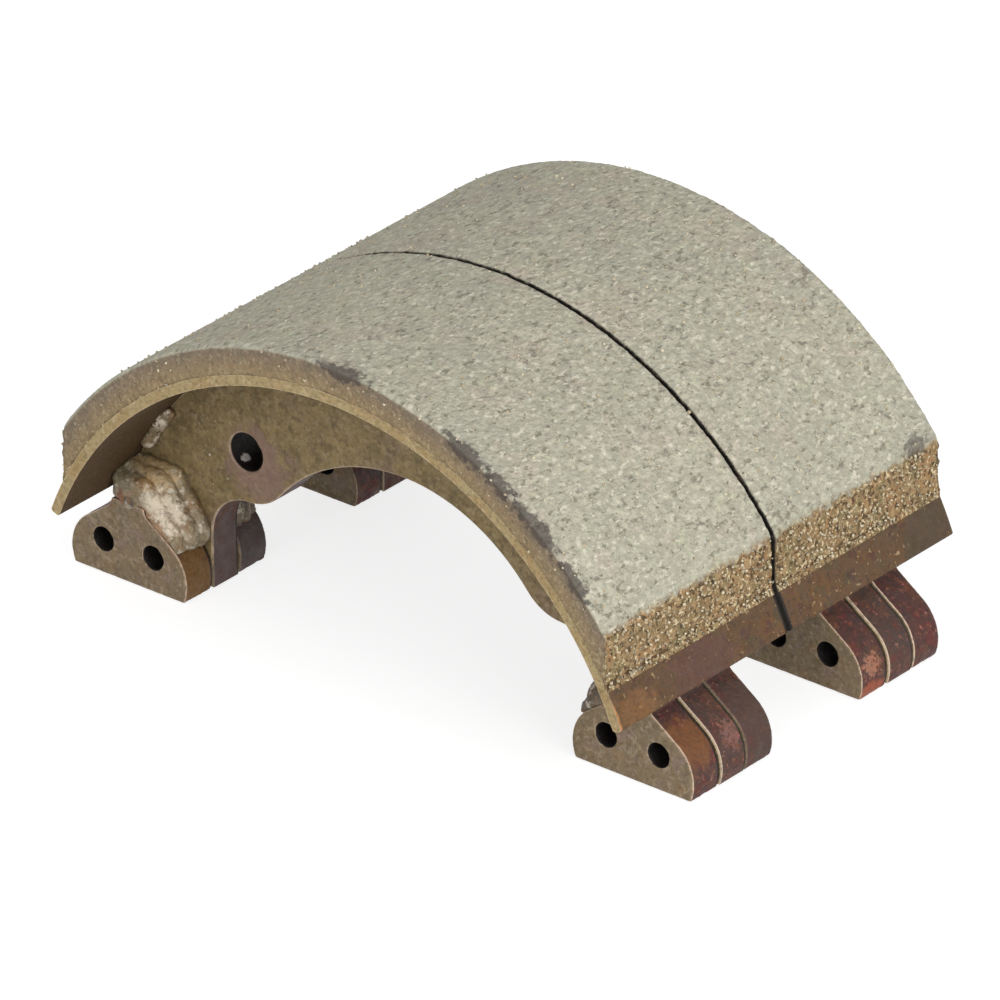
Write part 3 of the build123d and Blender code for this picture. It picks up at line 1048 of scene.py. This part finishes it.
def build_spatter(half, seed, material):
    """Drops of weld metal thrown on the web around its front welds."""
    rng = random.Random(seed)
    web_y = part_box(f"web_{half}_half")[0].y
    deselect_all()
    bpy.ops.mesh.primitive_ico_sphere_add(subdivisions=1, radius=1.0, location=(0.0, 0.0, 0.0))
    drop = bpy.context.active_object
    moves = []
    while len(moves) < SPATTER_COUNT:
        x = rng.uniform(*SPATTER_X)
        z = rng.uniform(*SPATTER_Z)
        if hypot(x - WEB_HOLE_X, z - WEB_HOLE_Z) < WEB_HOLE_RADIUS + SPATTER_CLEAR:
            continue
        if hypot(x, z - AXIS_Z) > TABLE_INNER - SPATTER_CLEAR:
            continue
        size = rng.uniform(0.35, 0.95) * MM
        place = Vector((rng.choice((-1, 1)) * x, web_y - 0.1 * MM, z))
        moves.append(Matrix.Translation(place) @ Matrix.Diagonal((size, 0.7 * size, size, 1.0)))
    piece = copy_and_join(drop, moves, f"weld_spatter_{half}_half")
    finish(piece, material)


# ---- camera, lamps and floor ----------------------------------------------------------
CAMERA_PLACE = (3.65087, -4.30636, 3.04885)
CAMERA_TURN = radians(40.294)  # round from the front of the shoe
CAMERA_RISE = radians(27.905)  # above level
CAMERA_ROLL = radians(-0.8655)
CAMERA_LENS = 478.0
FILM_WIDTH = 36.0
SHOE_MIDDLE = Vector((0.0, 0.0, 0.08))
FLOOR_Z = -0.2 * MM  # just below the soles
PAPER_SEEN = (0.36, 0.36, 0.36, 1.0)  # with its own glow this comes out white
PAPER_GLOW = 0.78
SKY_LIGHT = 0.64


def add_camera():
    """Long lens, high on the front right."""
    level_reach = cos(CAMERA_RISE)
    back = Vector((sin(CAMERA_TURN) * level_reach, -cos(CAMERA_TURN) * level_reach, sin(CAMERA_RISE)))
    level = Vector((cos(CAMERA_TURN), sin(CAMERA_TURN), 0.0))
    above = back.cross(level)
    right = cos(CAMERA_ROLL) * level + sin(CAMERA_ROLL) * above
    up = -sin(CAMERA_ROLL) * level + cos(CAMERA_ROLL) * above
    lens = bpy.data.cameras.new("camera")
    lens.sensor_width = FILM_WIDTH
    lens.lens = CAMERA_LENS
    lens.clip_end = 50.0
    camera = bpy.data.objects.new("camera", lens)
    turned = Matrix((right, up, back)).transposed().to_4x4()
    camera.matrix_world = Matrix.Translation(CAMERA_PLACE) @ turned
    bpy.context.scene.collection.objects.link(camera)
    bpy.context.scene.camera = camera


def add_lamp(name, place, size, watts):
    """A square soft lamp that faces the shoe."""
    light = bpy.data.lights.new(name, "AREA")
    light.size = size
    light.energy = watts
    lamp = bpy.data.objects.new(name, light)
    lamp.location = place
    lamp.rotation_euler = (SHOE_MIDDLE - Vector(place)).to_track_quat("-Z", "Y").to_euler()
    bpy.context.scene.collection.objects.link(lamp)


def seen_directly(tree):
    """1 for what the camera sees, straight or by way of metal or glass."""
    rays = add_node(tree, "ShaderNodeLightPath")
    seen = add_node(
        tree, "ShaderNodeMath", {0: rays.outputs["Is Camera Ray"], 1: rays.outputs["Is Glossy Ray"]},
        operation="MAXIMUM",
    )
    return add_node(
        tree, "ShaderNodeMath", {0: seen.outputs[0], 1: rays.outputs["Is Transmission Ray"]},
        operation="MAXIMUM",
    ).outputs[0]


def paper_sweep():
    """Matt white paper, which shows as plain white and keeps the shoe's soft shadow."""
    material, tree, _ = new_material("matt white paper sweep")
    seen = seen_directly(tree)
    lift = add_node(tree, "ShaderNodeMapRange", {"Value": seen, "To Min": 0.0, "To Max": PAPER_GLOW})
    shade = coats(tree, colours().floor, (seen, PAPER_SEEN))
    paper = add_node(
        tree, "ShaderNodeBsdfPrincipled",
        {
            "Base Color": shade, "Roughness": 0.95, "Specular IOR Level": 0.1,
            "Emission Color": colours().floor, "Emission Strength": lift.outputs[0],
        },
    )
    add_node(tree, "ShaderNodeOutputMaterial", {"Surface": paper.outputs[0]})
    return material


def light_world():
    """An even pale sky, white where the camera looks past the floor."""
    world = bpy.data.worlds.new("studio")
    bpy.context.scene.world = world
    world.use_nodes = True
    tree = world.node_tree
    tree.nodes.clear()
    level = add_node(
        tree, "ShaderNodeMapRange", {"Value": seen_directly(tree), "To Min": SKY_LIGHT, "To Max": 1.0}
    )
    air = add_node(
        tree, "ShaderNodeBackground", {"Color": (1.0, 1.0, 1.0, 1.0), "Strength": level.outputs[0]}
    )
    add_node(tree, "ShaderNodeOutputWorld", {"Surface": air.outputs[0]})


# ---- operators ------------------------------------------------------------------------
class SHOE_OT_stage(bpy.types.Operator):
    """Set up the camera, the soft lamps, the world and the pale floor"""

    bl_idname = "shoe.stage"
    bl_label = "Stage"

    def execute(self, context):
        context.scene.view_settings.view_transform = "Standard"
        add_camera()
        light_world()
        add_lamp("right softbox", (2.5, -0.9, 1.35), 1.5, 44.0)
        add_lamp("front fill", (0.2, -2.6, 1.2), 1.4, 13.0)
        deselect_all()
        bpy.ops.mesh.primitive_plane_add(size=12.0, location=(0.0, 0.0, FLOOR_Z))
        floor = context.active_object
        floor.name = "floor"
        bpy.ops.object.transform_apply(location=True, rotation=True, scale=True)
        floor.data.materials.append(paper_sweep())
        return {"FINISHED"}


class SHOE_OT_linings(bpy.types.Operator):
    """Model both friction linings with their pitted faces and crumbled ends"""

    bl_idname = "shoe.linings"
    bl_label = "Linings"

    def execute(self, context):
        block = moulded_friction_block()
        for half in HALVES:
            build_lining(half, block)
        return {"FINISHED"}


class SHOE_OT_chips(bpy.types.Operator):
    """Scatter the chips that stand out of the linings"""

    bl_idname = "shoe.chips"
    bl_label = "Lining chips"

    def execute(self, context):
        chip = broken_chips()
        for seed, half in enumerate(HALVES, start=11):
            build_chips(half, seed, chip)
        return {"FINISHED"}


class SHOE_OT_tables_and_webs(bpy.types.Operator):
    """Give the tables and webs their coated and rusting steel"""

    bl_idname = "shoe.tables_and_webs"
    bl_label = "Tables and webs"

    def execute(self, context):
        steels = {"table": table_steel(), "web": web_steel()}
        for half in HALVES:
            for family, steel in steels.items():
                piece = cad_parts[f"{family}_{half}_half"]
                piece.data.materials.clear()
                piece.data.materials.append(steel)
        return {"FINISHED"}


class SHOE_OT_tip_plates(bpy.types.Operator):
    """Model the flame-cut tip plates with their rounded corners and rough edges"""

    bl_idname = "shoe.tip_plates"
    bl_label = "Tip plates"

    def execute(self, context):
        steel = plate_steel()
        for half in HALVES:
            for end in ENDS:
                for side in SIDES:
                    build_tip_plate(half, end, side, steel)
        return {"FINISHED"}


class SHOE_OT_tip_welds(bpy.types.Operator):
    """Model the heavy welds that hold the tip plates to the webs"""

    bl_idname = "shoe.tip_welds"
    bl_label = "Tip welds"

    def execute(self, context):
        bright = weld_metal("stick weld, fresh", "86785d", 0.25, FRESH_TINTS)
        # The other welds are dulled metal, and their darker base is also painted shade, as the far welds
        # lie in shadow.
        dulled_with_shade = weld_metal("stick weld, dulled", "483c2d", 0.06)
        for half in HALVES:
            for end in ENDS:
                for side in SIDES:
                    fresh = (half, end, side) == FRESH_WELD
                    build_tip_weld(half, end, side, bright if fresh else dulled_with_shade)
        return {"FINISHED"}


class SHOE_OT_web_welds(bpy.types.Operator):
    """Model the stitch welds between webs and tables, and the spatter round them"""

    bl_idname = "shoe.web_welds"
    bl_label = "Stitch welds"

    def execute(self, context):
        stitch = weld_metal("stitch weld, half bright", "7a6c52", 0.9)
        for seed, half in enumerate(HALVES, start=31):
            for side in SIDES:
                build_web_weld(half, side, stitch)
            build_spatter(half, seed, stitch)
        return {"FINISHED"}


STEPS = ("stage", "linings", "chips", "tables_and_webs", "tip_welds", "web_welds", "tip_plates")


class SHOE_PT_panel(bpy.types.Panel):
    """Lists the steps, and the sizes and colours"""

    bl_idname = "SHOE_PT_panel"
    bl_label = "Brake Shoe"
    bl_space_type = "VIEW_3D"
    bl_region_type = "UI"
    bl_category = "Brake Shoe"

    def draw(self, context):
        for step in STEPS:
            self.layout.operator(f"shoe.{step}")
        for group in (context.scene.shoe_sizes, context.scene.shoe_colours):
            box = self.layout.box()
            for name in group.__annotations__:
                box.prop(group, name)


CLASSES = (
    ShoeSizes, ShoeColours, SHOE_OT_stage, SHOE_OT_linings, SHOE_OT_chips, SHOE_OT_tables_and_webs,
    SHOE_OT_tip_plates, SHOE_OT_tip_welds, SHOE_OT_web_welds, SHOE_PT_panel,
)


def register():
    for entry in CLASSES:
        bpy.utils.register_class(entry)
    bpy.types.Scene.shoe_sizes = PointerProperty(type=ShoeSizes)
    bpy.types.Scene.shoe_colours = PointerProperty(type=ShoeColours)


def unregister():
    del bpy.types.Scene.shoe_colours
    del bpy.types.Scene.shoe_sizes
    for entry in reversed(CLASSES):
        bpy.utils.unregister_class(entry)


def main():
    register()
    for step in STEPS:
        getattr(bpy.ops.shoe, step)()


if __name__ == "__main__":
    main()
